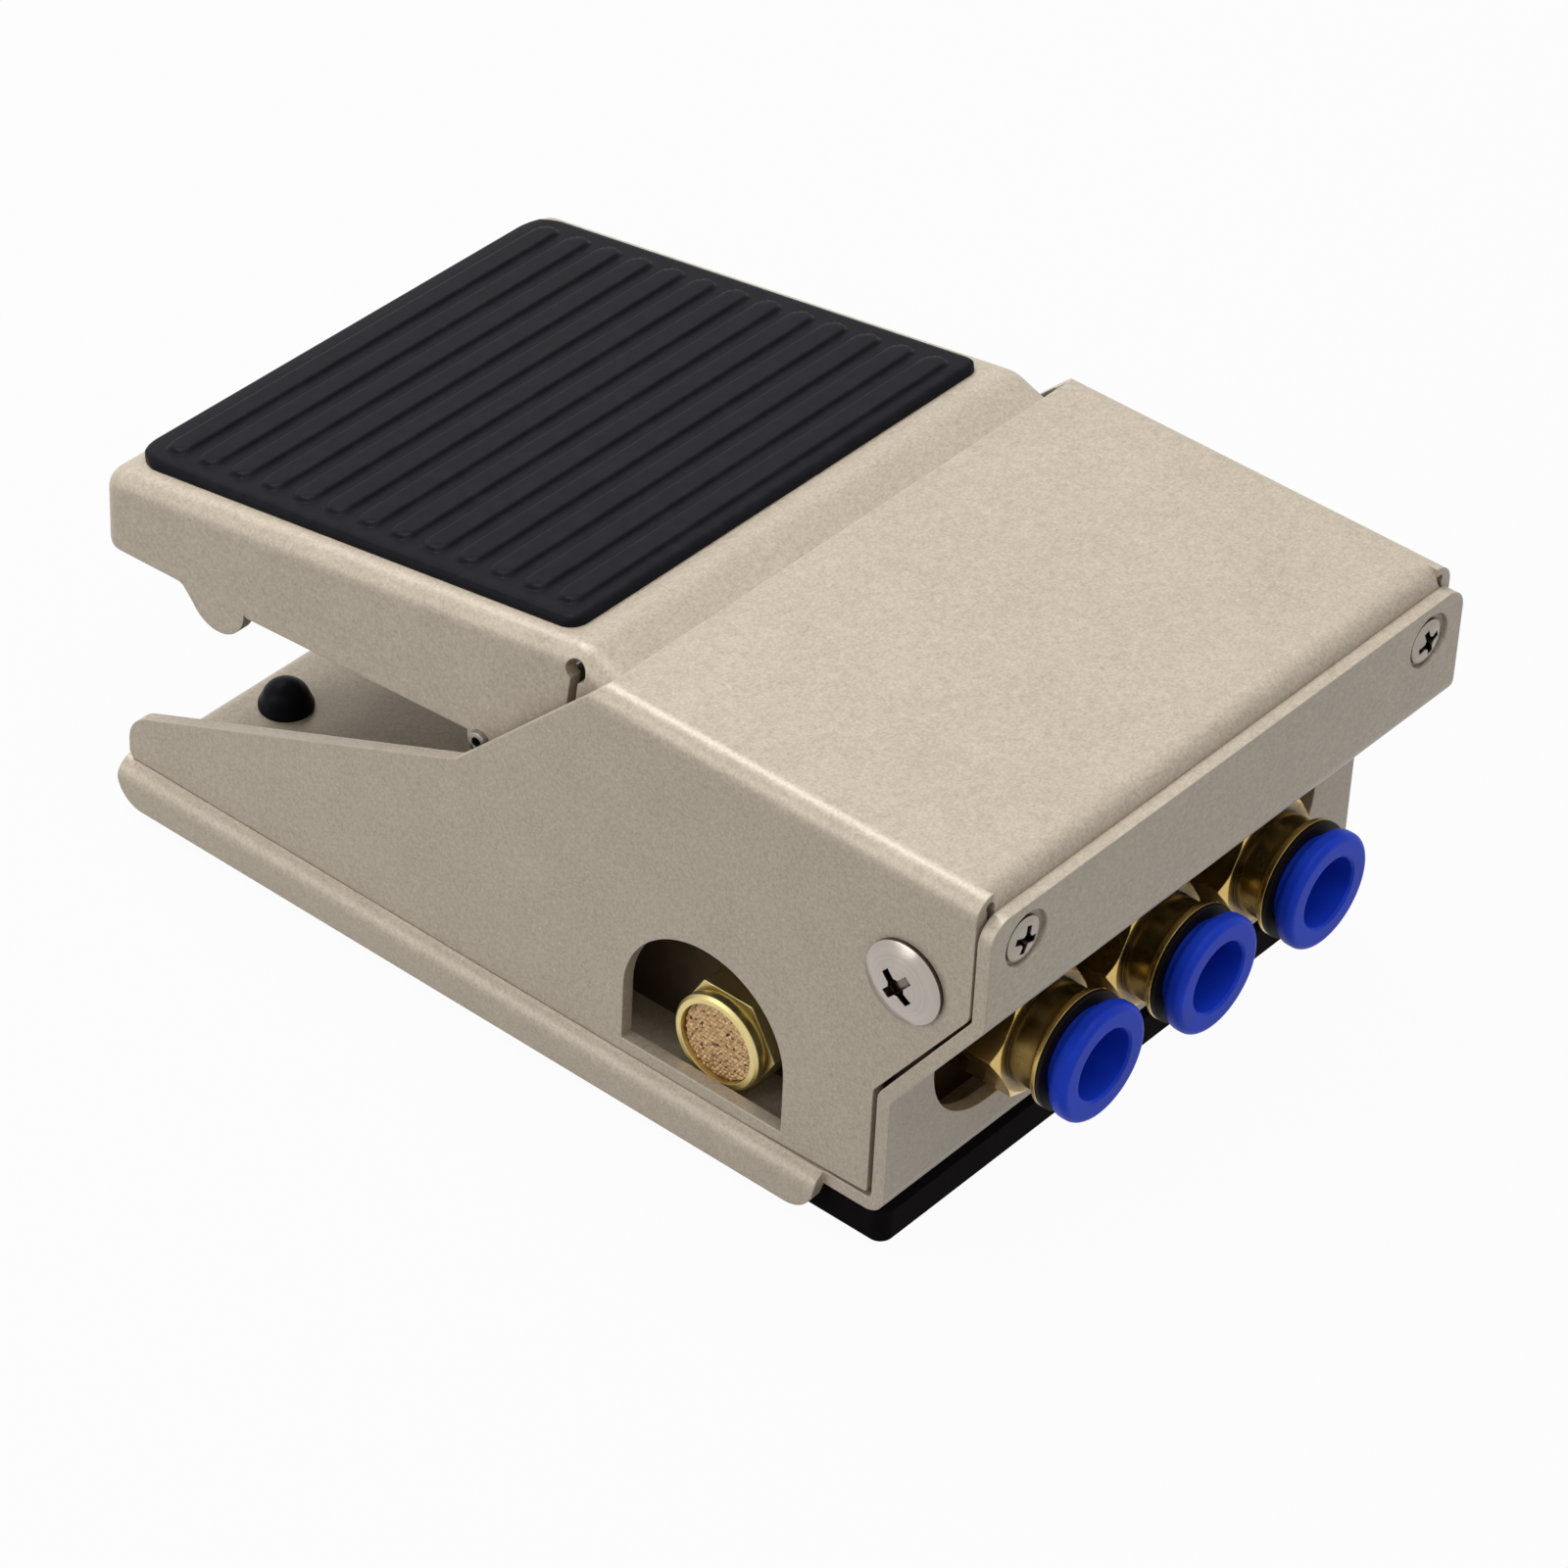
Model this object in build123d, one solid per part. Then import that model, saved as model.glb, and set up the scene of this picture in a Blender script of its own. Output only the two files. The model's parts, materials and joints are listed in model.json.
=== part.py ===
from build123d import *
import math
import os

# Foot pedal air valve in millimetres: X across, +Y towards the tube fittings, +Z up from the ground.
# The origin is on the ground under the middle of the casing. Pieces on the +X side are called right.

# Pressed steel shared by base, cover and pedal
sheet = 2.0                     # sheet thickness
bend_in = 1.0                   # inside radius of a press bend
bend_out = bend_in + sheet
slip = 0.05                     # radial clearance of running and threaded fits
seam = 0.3                      # gap between two sheets that lie edge to edge

# Sizes that the whole product follows
casing_half = 48.0              # outer faces of the cover walls and ends of the end plate
cover_top = 62.8

# Base tray with its turned-up end plate
floor_top = 8.0                 # upper face of the tray floor
base_toe = -73.8                # toe end of the tray
flange_bottom = 1.5             # lower edge of the side flanges
flange_end = 49.8               # port end of the side flanges
flange_corner = 4.5             # rounded lower corners of the side flanges
plate_y = 57.6                  # inner face of the upright part of the end plate
slope_low = 25.5                # where the end plate starts to lean out
slope_high = 44.8               # where it stands upright again
strip_y = 71.2                  # inner face of the upper strip of the end plate
strip_drop = 2.5                # from the cover's top to the top of the strip
strip_corner = 3.5
slot_inset = 8.6                # from the casing's side to the end of the fitting slot
slot_z, slot_radius = 24.4, 11.2

# Cover
mouth_y = 10.0                  # front edge of the top sheet, over the pedal
wall_toe = -73.3                # toe end of the side walls
wall_toe_top = 14.4             # height of the wall there, before rounding
wall_toe_radius = 5.0
wall_low_gap = 0.8              # gaps between the wall's port end and the end plate
wall_high_gap = 0.45
wall_lift, wall_lift_start = 0.7, 36.0      # the wall's lower edge rises a little towards its port end
notch_y, notch_drop = -13.8, 23.5           # bottom of the V between the low and the high part of the wall
window_y, window_z = 29.1, 18.5
window_radius = 13.45
window_sill = 10.0
end_flange = 14.8               # the top sheet is also bent down behind the strip
end_relief, end_relief_drop = 0.7, 1.8      # round relief at the flange's upper corners

# Feet inside the cover walls, screwed to the tray from below
foot_places = (-46.0, 2.0)
foot_length = 12.0
foot_reach = 12.0
foot_thick = 1.5
foot_height = 9.0

# Pedal, with its heights given as drops from the cover's top
pedal_gap = 2.0                 # between the pedal's flanges and the cover's walls
pedal_toe = -81.7
apex_y, apex_rise = 3.0, 0.1    # crest of the cross bend, before rounding
rise = 9.1                      # degrees, front plate falls towards the toe
fall = 20.0                     # degrees, rear plate falls under the cover
crest_radius = 6.0
rear_end = 50.0                 # rear edge of the rear plate
toe_flange_drop = 25.2
toe_flange_radius = 3.5
lip_drop = 24.8                 # underside of the turned-in toe lip
lip_end = -63.0
lobe_y, lobe_drop, lobe_radius = -60.3, 24.2, 5.0
flange_drop_toe = 24.3          # lower edge of the long flange beside the lobe
flange_drop_notch = 21.6        # and beside the cross pin
rear_flange_drop = 24.4
relief_y, relief_drop = 2.8, 3.0        # round relief hole at the cross bend, with a slit down to the flange's edge
relief_radius, relief_slit, relief_lean = 1.65, 1.3, 6.0

# Pivot
pivot_y, pivot_drop = 60.8, 17.3
ear_radius = 7.0
axle_radius = 4.0
bush_radius = 5.0
bush_flange_radius = 7.0
pivot_screw_radius = 2.5
pivot_head_radius = 5.9
pivot_head_height = 2.1
pivot_recess, pivot_recess_depth = 5.2, 1.5
pivot_recess_turn = 49.0        # degrees, how the recess happens to stand
pivot_screw_length = 14.0

# Rubber pad on the pedal, placed along the front plate from the crest
pad_inset = 3.7                 # from the pedal's side to the pad's edge
pad_top_edge = -3.7
pad_toe_edge = -83.7
pad_thick = 1.4
pad_corner_toe, pad_corner_crest = 5.0, 2.5
rib_count = 13
rib_first = -78.4
rib_pitch = 5.85
rib_inset = 2.7
rib_width = 4.2
rib_height = 1.0

# Cross pin and return spring
pin_y, pin_drop = -13.0, 22.2
pin_radius, pin_bore = 1.5, 0.8
pin_proud = 0.8
pin_ear_radius = 2.3
spring_cap_radius = 8.6
spring_cap_drop = 5.6           # from the pin to the cap's underside
spring_cap_thick = 1.6
spring_spigot_radius = 4.5
spring_spigot_length = 4.0
return_wire = 0.8               # wire radius
return_mean = 6.6
return_turns = 5

# Bumpers on the tray floor under the toe
bumper_x, bumper_y = 25.5, -65.8
bumper_radius, bumper_height = 3.9, 4.3
bumper_shoulder_radius, bumper_shoulder = 3.1, 2.5
bumper_stem = 1.9

# Rubber mat under the tray
mat_end = 59.0
mat_side_gap = 1.0
mat_edge = 0.5
mat_corner = 2.0

# Valve block
block_inset = 10.0              # from the casing's side to the block
block_front, block_face = 8.0, 52.0
block_top = 34.0
block_edge = 1.2
port_pitch = 23.3
port_z = 24.2
port_thread, port_depth = 6.5, 9.0
exhaust_y, exhaust_z = 29.1, 15.1
exhaust_thread, exhaust_depth = 4.8, 7.0
gallery_radius = 2.5
port_gallery = 1.4
port_levels = {"left": -2.2, "centre": 0.0, "right": 2.1}     # the ports reach the bore at three heights
spool_bore = 6.0
spool_bore_bottom = 9.5
gland_thread, gland_depth = 8.0, 6.0
gland_flats, gland_head = 20.0, 2.8
gland_seal_z = 31.0

# Spool and pusher
stem_radius = 4.0
land_bottom = 20.0
plunger_rise = 0.45             # top of the plunger over the pivot's height
plunger_head_radius, plunger_head_thick = 6.5, 2.5
ring_wire = 0.75                # radius of the seal rings' section
spool_seal_places = (21.6, 26.3)
spool_spring_wire, spool_spring_mean, spool_spring_turns = 0.4, 4.2, 5
pusher_radius = 4.0
pusher_shank = 3.0
pusher_nut_flats, pusher_nut_height = 10.0, 3.5

# Push-in fittings
tube_bore = 5.1                 # for a 10 mm tube
fitting_flats, fitting_hex_end = 17.0, 64.2
fitting_barrel = 7.3
fitting_rim, fitting_rim_width, fitting_rim_end = 8.4, 0.9, 69.4
fitting_cavity_start = 56.5
fitting_seat_start = 53.2
passage_radius = 3.5
black_ring_thick = 0.6
collar_face = 74.0
collar_radius, collar_back = 8.4, 71.1
collar_sleeve, collar_inner_end = 6.5, 59.7
collar_front_round, collar_back_round, collar_chamfer = 1.0, 1.2, 0.3

# Silencers, measured out from the side of the valve block
silencer_flats, silencer_hex = 14.0, 5.2
silencer_rim, silencer_rim_start, silencer_length = 7.0, 5.9, 7.4
element_radius, element_start = 5.8, 2.5

# Small screws
small_screw = 2.0               # radius of the M4 screws from below
small_head, small_head_height = 3.9, 2.3
small_recess, small_recess_depth = 3.6, 1.2
small_length = 8.0
end_screw_inset, end_screw_drop = 7.0, 8.2
end_screw, end_head, end_head_depth = 1.5, 3.2, 1.1
end_head_edge, end_head_rise = 0.4, 0.5       # upright edge of the head and the dome on it
end_recess, end_recess_depth, end_recess_turn = 4.0, 1.4, 18.0
end_dimple, end_dimple_floor, end_dimple_depth = 4.0, 3.8, 0.8
end_dimple_lift = 0.3           # the pit is pressed a little above the screw
end_screw_length = 8.0
block_screw_places = ((-30.0, 14.0), (30.0, 14.0), (-30.0, 46.0), (30.0, 46.0))
nut_flats, nut_height = 7.0, 3.2
mat_hole = 4.8

# Sizes worked out from the ones above
floor_bottom = floor_top - sheet
flange_half = casing_half + sheet
wall_inner = casing_half - sheet
pedal_half = wall_inner - pedal_gap
pedal_inner = pedal_half - sheet
pad_half = pedal_half - pad_inset
slot_half = casing_half - slot_inset
block_half = casing_half - block_inset
end_screw_x = casing_half - end_screw_inset
strip_top = cover_top - strip_drop
end_screw_z = cover_top - end_screw_drop
notch_z = cover_top - notch_drop
apex_z = cover_top + apex_rise
toe_flange_bottom = cover_top - toe_flange_drop
lip_z = cover_top - lip_drop
lobe_z = cover_top - lobe_drop
rear_flange_bottom = cover_top - rear_flange_drop
pivot_z = cover_top - pivot_drop
pin_z = cover_top - pin_drop
spring_cap_z = pin_z - spring_cap_drop
plunger_top = pivot_z + plunger_rise
silencer_face = block_half + silencer_length
foot_x = wall_inner - foot_reach / 2
foot_screw_places = [(side * foot_x, y) for side in (-1, 1) for y in foot_places]
port_places = {"left": -port_pitch, "centre": 0.0, "right": port_pitch}
front_plane = Plane(origin=(0, apex_y, apex_z), x_dir=(1, 0, 0),
                    z_dir=(0, -math.sin(math.radians(rise)), math.cos(math.radians(rise))))
rear_plane = Plane(origin=(0, apex_y, apex_z), x_dir=(1, 0, 0),
                   z_dir=(0, math.sin(math.radians(fall)), math.cos(math.radians(fall))))


def front_height(y):
    return apex_z + (y - apex_y) * math.tan(math.radians(rise))


def rear_height(y):
    return apex_z - (y - apex_y) * math.tan(math.radians(fall))


# Flat outlines are drawn in two axes and pushed along the third
def along_x(outline, start, end):
    return extrude(Plane.YZ.offset(start) * outline, amount=end - start)


def along_y(outline, start, end):
    return extrude(Plane.XZ.offset(-start) * outline, amount=start - end)


def along_z(outline, start, end):
    return extrude(Plane.XY.offset(start) * outline, amount=end - start)


def rod_x(radius, y, z, start, end):
    return along_x(Pos(y, z) * Circle(radius), start, end)


def rod_y(radius, x, z, start, end):
    return along_y(Pos(x, z) * Circle(radius), start, end)


def rod_z(radius, x, y, start, end):
    return along_z(Pos(x, y) * Circle(radius), start, end)


def hexagon(flats):
    return RegularPolygon(flats / 2, 6, major_radius=False)


def turned(points):
    return revolve(Plane.XZ * make_face(Polyline(*points, close=True)), Axis.Z)


def mirrored(shape):
    return mirror(shape, about=Plane.YZ)


# A bent sheet from the line of one of its faces, which lies on its left
def bent_sheet(points, radii):
    line = FilletPolyline(*points, radius=radii)
    return make_face(offset(line, amount=sheet, side=Side.RIGHT))


# A tapered cross that is cut down from z = 0
def cross_recess(length, depth):
    width, lean = 0.25 * length, 6
    slot = extrude(Rectangle(length, width), amount=-depth, taper=lean)
    middle = extrude(Circle(0.24 * length), amount=-depth, taper=lean)
    return slot + Rot(Z=90) * slot + middle


# A spherical cap that rises by its height from z = start
def dome(radius, start, height):
    ball = (radius ** 2 + height ** 2) / (2 * height)
    return rod_z(radius, 0, 0, start, start + height) & Pos(0, 0, start + height - ball) * Sphere(ball)


# A domed screw that stands on z = 0 with its shank below
def domed_screw(head_radius, head_height, shank_radius, length, recess, recess_depth):
    edge = 0.3 * head_height
    screw = rod_z(head_radius, 0, 0, 0, edge) + dome(head_radius, edge, head_height - edge)
    screw += rod_z(shank_radius, 0, 0, -length, 0)
    return screw - Pos(0, 0, head_height) * cross_recess(recess, recess_depth)


# Base tray: one sheet with turned-down edges and a cranked end plate
def base_plate():
    profile = bent_sheet(
        [(base_toe, flange_bottom), (base_toe, floor_top), (plate_y, floor_top),
         (plate_y, slope_low), (strip_y, slope_high), (strip_y, strip_top)],
        [bend_out, bend_in, bend_out, bend_in])
    tray = along_x(profile, -casing_half, casing_half)
    floor_half = flange_half - bend_out
    edge = flange_half - floor_half
    for side in (-1, 1):
        middle = side * (floor_half + edge / 2)
        tray -= Pos(middle, (base_toe + flange_end) / 2 - 1, floor_bottom) * Box(
            edge, flange_end - base_toe + 2, 3 * floor_top)
    corner_slit = 0.5
    for side in (-1, 1):
        path = [(floor_half - corner_slit, floor_top), (flange_half, floor_top), (flange_half, flange_bottom)]
        lip = along_y(bent_sheet(path, [bend_out]), base_toe, flange_end)
        lip = fillet(lip.edges().filter_by(Axis.X).group_by(Axis.Z)[0], flange_corner)
        tray += lip if side > 0 else mirrored(lip)
        tray -= Pos(side * (floor_half - corner_slit / 2), base_toe, 0) * Box(
            corner_slit, 2 * bend_out + 0.4, 3 * floor_top)
    top_corners = tray.edges().filter_by(Axis.Y).group_by(Axis.Z)[-1]
    tray = fillet(top_corners, strip_corner)
    slot = Pos(0, slot_z) * SlotOverall(2 * slot_half, 2 * slot_radius)
    tray -= along_y(slot, plate_y - 1, strip_y)
    for side in (-1, 1):
        tray -= rod_y(end_screw + 0.2, side * end_screw_x, end_screw_z, strip_y - 1, strip_y + sheet + 1)
        tray -= Pos(side * end_screw_x, strip_y + sheet, end_screw_z) * Rot(X=90) * countersink()
        tray -= rod_z(bumper_stem + slip, side * bumper_x, bumper_y, 0, floor_top + 1)
    for x, y in foot_screw_places + list(block_screw_places):
        tray -= rod_z(small_screw + 0.2, x, y, 0, floor_top + 1)
    return tray - rod_z(small_screw + slip, 0, pin_y, 0, floor_top + 1)


# Pit and countersink for an end screw, opening at z = 0 with their depth along +Z
def countersink():
    bottom = end_dimple_depth
    deep = bottom + end_head_depth
    pit = turned([(0, -1), (end_dimple, -1), (end_dimple, 0), (end_dimple_floor, bottom), (0, bottom)])
    seat = turned([(0, 0), (end_head + slip, 0), (end_head + slip, bottom), (end_screw + 0.2, deep), (0, deep)])
    return Pos(0, end_dimple_lift) * pit + seat


def base_mat():
    half = flange_half - sheet - mat_side_gap
    start = base_toe + sheet + mat_side_gap
    middle = (start + mat_end) / 2
    mat = along_z(Pos(0, middle) * RectangleRounded(2 * half, mat_end - start, mat_corner), 0, floor_bottom)
    mat = fillet(mat.edges().group_by(Axis.Z)[0], mat_edge)
    mat = chamfer(mat.edges().group_by(Axis.Z)[-1], bend_in)
    places = foot_screw_places + list(block_screw_places) + [(0, pin_y)]
    places += [(-bumper_x, bumper_y), (bumper_x, bumper_y)]
    for x, y in places:
        mat -= rod_z(mat_hole, x, y, -1, floor_top)
    return mat


# Cover: an inverted U cut to the side outline, with an end flange, windows and feet
def cover():
    legs = [(-casing_half, 0), (-casing_half, cover_top), (casing_half, cover_top), (casing_half, 0)]
    channel = along_y(bent_sheet(legs, [bend_out, bend_out]), wall_toe - sheet, strip_y + sheet)
    shell = channel & along_x(wall_outline(), -flange_half, flange_half)
    shell -= Pos(0, mouth_y, cover_top) * Box(2 * (casing_half - bend_out), 10 * sheet, 4 * sheet, align=(
        Align.CENTER, Align.MAX, Align.CENTER))
    shell -= along_x(corner_waste(strip_y - wall_high_gap, cover_top, bend_out), -flange_half, flange_half)
    shell = add_end_flange(shell)
    shell -= along_x(window_outline(), -flange_half, flange_half)
    shell -= rod_x(pivot_screw_radius + 0.2, pivot_y, pivot_z, -casing_half - 1, casing_half + 1)
    for side in (-1, 1):
        shell -= rod_y(end_screw + slip, side * end_screw_x, end_screw_z, strip_y - 5, strip_y + 1)
        for y in foot_places:
            sole = Pos(side * foot_x, y, floor_top + foot_thick / 2) * Box(foot_reach, foot_length, foot_thick)
            back = Pos(side * (wall_inner - foot_thick / 2), y, floor_top + foot_height / 2) * Box(
                foot_thick, foot_length, foot_height)
            shell += sole + back
    for x, y in foot_screw_places:
        shell -= rod_z(small_screw + slip, x, y, floor_top - 1, floor_top + foot_thick + 1)
    return shell


# The flange takes the place of the top sheet's end, between the long bends, and is parted from the walls by short slits
def add_end_flange(shell):
    start, half = strip_y - 2 * bend_out, casing_half - bend_out
    shell -= Pos(0, start, cover_top) * Box(2 * half, 4 * bend_out, 2 * bend_out, align=(
        Align.CENTER, Align.MIN, Align.CENTER))
    path = [(start, cover_top), (strip_y, cover_top), (strip_y, cover_top - end_flange)]
    shell += along_x(bent_sheet(path, [bend_out]), -half, half)
    relief_z = cover_top - end_relief_drop
    for side in (-1, 1):
        middle = side * (half + wall_inner) / 2
        shell -= rod_y(end_relief, middle, relief_z, strip_y - bend_out, strip_y + 1)
        shell -= Pos(middle, strip_y, relief_z) * Box(wall_inner - half, 2 * bend_out, end_flange, align=(
            Align.CENTER, Align.CENTER, Align.MAX))
    return shell


# Side view of the cover, drawn past its top so that the top sheet keeps its own face
def wall_outline():
    above = cover_top + 2 * sheet
    slope = (mouth_y - notch_y) / (cover_top - notch_z)
    low_end, high_end = plate_y - wall_low_gap, strip_y - wall_high_gap
    return make_face(FilletPolyline(
        (low_end, floor_top + wall_lift), (wall_lift_start, floor_top), (wall_toe, floor_top),
        (wall_toe, wall_toe_top), (notch_y, notch_z), (mouth_y + slope * (above - cover_top), above),
        (high_end, above), (high_end, slope_high), (low_end, slope_low),
        radius=[0.4, bend_in, 1.2, wall_toe_radius, bend_in, bend_in, bend_in, bend_out, 1.5], close=True))


# What is cut off outside a rounded upper corner
def corner_waste(y, z, radius):
    square = Pos(y, z) * Rectangle(2 * radius, 2 * radius)
    return square - Pos(y - radius, z - radius) * Circle(radius)


# Arched window over a straight sill
def window_outline():
    arch = Pos(window_y, window_z) * Circle(window_radius)
    arch += Pos(window_y, window_z) * Rectangle(2 * window_radius, 2 * window_radius, align=(Align.CENTER, Align.MAX))
    return arch & Pos(window_y, window_sill) * Rectangle(
        4 * window_radius, 4 * window_radius, align=(Align.CENTER, Align.MIN))


# Pedal: a pressed tray with long flanges, a turned-in toe lip and two ears at the pivot
def pedal():
    far = pivot_y + 2 * ear_radius + bend_out
    block = make_face(FilletPolyline(
        (pedal_toe, 0), (pedal_toe, front_height(pedal_toe)), (apex_y, apex_z), (far, rear_height(far)), (far, 0),
        radius=[0.4, bend_out + 0.5, crest_radius, 0.4, 0.4], close=True))
    outer = round_shoulders(along_x(block, -pedal_half, pedal_half), pedal_half, bend_out)
    inner = along_x(offset(block, amount=-sheet), -pedal_inner, pedal_inner)
    shell = outer - round_shoulders(inner, pedal_inner, bend_in)
    shell = shell & along_x(flange_outline(), -pedal_half, pedal_half)
    lip_path = [(lip_end, lip_z), (pedal_toe, lip_z), (pedal_toe, front_height(pedal_toe) - 2 * bend_out)]
    shell += along_x(bent_sheet(lip_path, [bend_out]), -pedal_inner, pedal_inner)
    ear = make_face(Polyline((rear_end - 6, rear_flange_bottom), (pivot_y, pivot_z - ear_radius),
                             (pivot_y - 2.5, pivot_z + 6.5), (rear_end - 1, rear_height(rear_end - 1) - 0.5),
                             close=True)) + Pos(pivot_y, pivot_z) * Circle(ear_radius)
    for side in (-1, 1):
        shell += along_x(ear, side * pedal_inner, side * pedal_half)
        shell -= along_x(bend_relief(), side * (pedal_inner - 1), side * (pedal_half + 1))
    shell -= rod_x(bush_radius + 0.02, pivot_y, pivot_z, -casing_half, casing_half)
    shell -= rod_x(pin_radius + 0.02, pin_y, pin_z, -casing_half, casing_half)
    return shell - pusher_place() * Cylinder(pusher_shank + slip, 4 * sheet)


# Round hole at the end of the cross bend, with a leaning slit below it
def bend_relief():
    slit = Rot(Z=-relief_lean) * Rectangle(relief_slit, cover_top, align=(Align.CENTER, Align.MAX))
    return Pos(relief_y, cover_top - relief_drop) * (Circle(relief_radius) + slit)


# The long upper edges of the pedal's tray, rounded as a press bend
def round_shoulders(tray, half, radius):
    shoulders = [edge for edge in tray.edges()
                 if abs(abs(edge.center().X) - half) < 0.01 and edge.center().Z > 2 * sheet + 1
                 and edge.center().Y < pivot_y + ear_radius]
    return fillet(shoulders, radius)


# Side view of the pedal flanges, left open upwards
def flange_outline():
    above = 1.3 * cover_top
    line_toe = cover_top - flange_drop_toe
    line = FilletPolyline(
        (pedal_toe - 1, above), (pedal_toe, toe_flange_bottom), (lobe_y - lobe_radius - 1.4, lobe_z - 0.3),
        (lobe_y - 0.6 * lobe_radius, lobe_z - 0.8 * lobe_radius), (lobe_y, line_toe + 2),
        (lobe_y + lobe_radius + 0.7, line_toe), (pin_y - pin_ear_radius, cover_top - flange_drop_notch),
        (pin_y, rear_flange_bottom), (rear_end, rear_flange_bottom), (rear_end, above),
        radius=[0.3, toe_flange_radius, 1.6, 0.5, 0.1, 0.3, 0.3, 0.6, 0.3, 0.3], close=True)
    return make_face(line) + Pos(lobe_y, lobe_z) * Circle(lobe_radius) + Pos(pin_y, pin_z) * Circle(pin_ear_radius)


# Where the pusher's dome must lie to press the plunger's head in the middle
def pusher_place():
    lean = math.radians(fall)
    across = exhaust_y - apex_y
    down = apex_z - (plunger_top + slip + pusher_radius)
    run = across * math.cos(lean) + down * math.sin(lean)
    return rear_plane * Pos(0, run, 0)


def pusher_depth():
    lean = math.radians(fall)
    across = exhaust_y - apex_y
    down = apex_z - (plunger_top + slip + pusher_radius)
    return down * math.cos(lean) - across * math.sin(lean)


def pusher_screw():
    depth = pusher_depth()
    head = Pos(0, 0, -depth) * Sphere(pusher_radius)
    head += rod_z(pusher_radius, 0, 0, -depth, -sheet)
    head -= rod_z(2 * pusher_radius, 0, 0, -sheet, 2 * pusher_radius)
    return pusher_place() * (head + rod_z(pusher_shank, 0, 0, -sheet, pusher_nut_height + 0.8))


def pusher_nut():
    nut = along_z(hexagon(pusher_nut_flats), 0, pusher_nut_height)
    return pusher_place() * (nut - rod_z(pusher_shank + slip, 0, 0, -1, pusher_nut_height + 1))


# Rubber pad with its ribs, drawn on the front plate
def pedal_pad():
    length = pad_top_edge - pad_toe_edge
    middle = (pad_top_edge + pad_toe_edge) / 2
    outline = Rectangle(2 * pad_half, length)
    outline = fillet(outline.vertices().group_by(Axis.Y)[0], pad_corner_toe)
    outline = fillet(outline.vertices().group_by(Axis.Y)[-1], pad_corner_crest)
    slab = along_z(Pos(0, middle) * outline, 0, pad_thick)
    slab = fillet(slab.edges().group_by(Axis.Z)[-1], 0.5 * pad_thick)
    rib = along_z(SlotOverall(2 * (pad_half - rib_inset), rib_width), pad_thick / 2, pad_thick + rib_height)
    rib = fillet(rib.edges().group_by(Axis.Z)[-1], 0.6 * rib_height)
    for number in range(rib_count):
        slab += Pos(0, rib_first + number * rib_pitch) * rib
    return front_plane * slab


def pivot_axle():
    axle = rod_x(axle_radius, pivot_y, pivot_z, -wall_inner, wall_inner)
    for side in (-1, 1):
        axle -= rod_x(pivot_screw_radius + slip, pivot_y, pivot_z,
                      side * (casing_half - pivot_screw_length - 1), side * (wall_inner + 1))
    return axle


def pivot_screws():
    screw = domed_screw(pivot_head_radius, pivot_head_height, pivot_screw_radius, pivot_screw_length,
                        pivot_recess, pivot_recess_depth)
    right = Pos(casing_half, pivot_y, pivot_z) * Rot(Y=90) * Rot(Z=pivot_recess_turn) * screw
    return Compound(children=[right, mirrored(right)])


def pedal_bushes():
    flange = bush_flange_radius
    bore = axle_radius + slip
    inner, outer, end = pedal_inner - 0.4, pedal_half, wall_inner - seam
    bush = turned([(bore, inner), (bush_radius, inner), (bush_radius, outer), (flange, outer), (flange, end),
                   (bore, end)])
    right = Pos(0, pivot_y, pivot_z) * Rot(Y=90) * bush
    return Compound(children=[right, mirrored(right)])


def cross_pin():
    half = pedal_half + pin_proud
    return rod_x(pin_radius, pin_y, pin_z, -half, half) - rod_x(pin_bore, pin_y, pin_z, -half - 1, half + 1)


# The cap hangs on the cross pin and the post stands on the floor, with the return spring between them
def spring_cap():
    cap = turned([(0, spring_cap_z - spring_spigot_length), (spring_spigot_radius, spring_cap_z - spring_spigot_length),
                  (spring_spigot_radius, spring_cap_z), (spring_cap_radius, spring_cap_z),
                  (spring_cap_radius, spring_cap_z + spring_cap_thick),
                  (spring_spigot_radius, spring_cap_z + spring_cap_thick), (spring_spigot_radius, pin_z),
                  (0, pin_z)])
    return Pos(0, pin_y) * cap - rod_x(pin_radius + 0.02, pin_y, pin_z, -20, 20)


def spring_post():
    seat = floor_top + spring_cap_thick
    foot = floor_bottom - 1.2
    post = turned([(0, foot), (1.7 * small_screw, foot), (1.7 * small_screw, floor_bottom), (small_screw, floor_bottom),
                   (small_screw, floor_top), (spring_cap_radius, floor_top), (spring_cap_radius, seat),
                   (spring_spigot_radius, seat), (spring_spigot_radius, seat + spring_spigot_length),
                   (0, seat + spring_spigot_length)])
    return Pos(0, pin_y) * post


def coil(wire, mean, turns, bottom, top):
    height = top - bottom - 2 * wire - 2 * slip
    path = Helix(pitch=height / turns, height=height, radius=mean)
    section = Plane(origin=path @ 0, z_dir=path % 0) * Circle(wire)
    return Pos(0, 0, bottom + wire + slip) * sweep(section, path=path, is_frenet=True)


def return_spring():
    seat = floor_top + spring_cap_thick
    return Pos(0, pin_y) * coil(return_wire, return_mean, return_turns, seat, spring_cap_z)


def toe_bumpers():
    bumper = dome(bumper_shoulder_radius, bumper_shoulder, bumper_height - bumper_shoulder)
    bumper += turned([(0, 0), (bumper_radius, 0), (bumper_radius, 0.6), (bumper_shoulder_radius, bumper_shoulder),
                      (0, bumper_shoulder)])
    bumper += turned([(0, -sheet - 2.4), (bumper_stem, -sheet - 2.4), (bumper_stem + 1.2, -sheet - 0.8),
                      (bumper_stem + 1.2, -sheet), (bumper_stem, -sheet), (bumper_stem, 0), (0, 0)])
    return Compound(children=[Pos(side * bumper_x, bumper_y, floor_top) * bumper for side in (-1, 1)])


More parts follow.
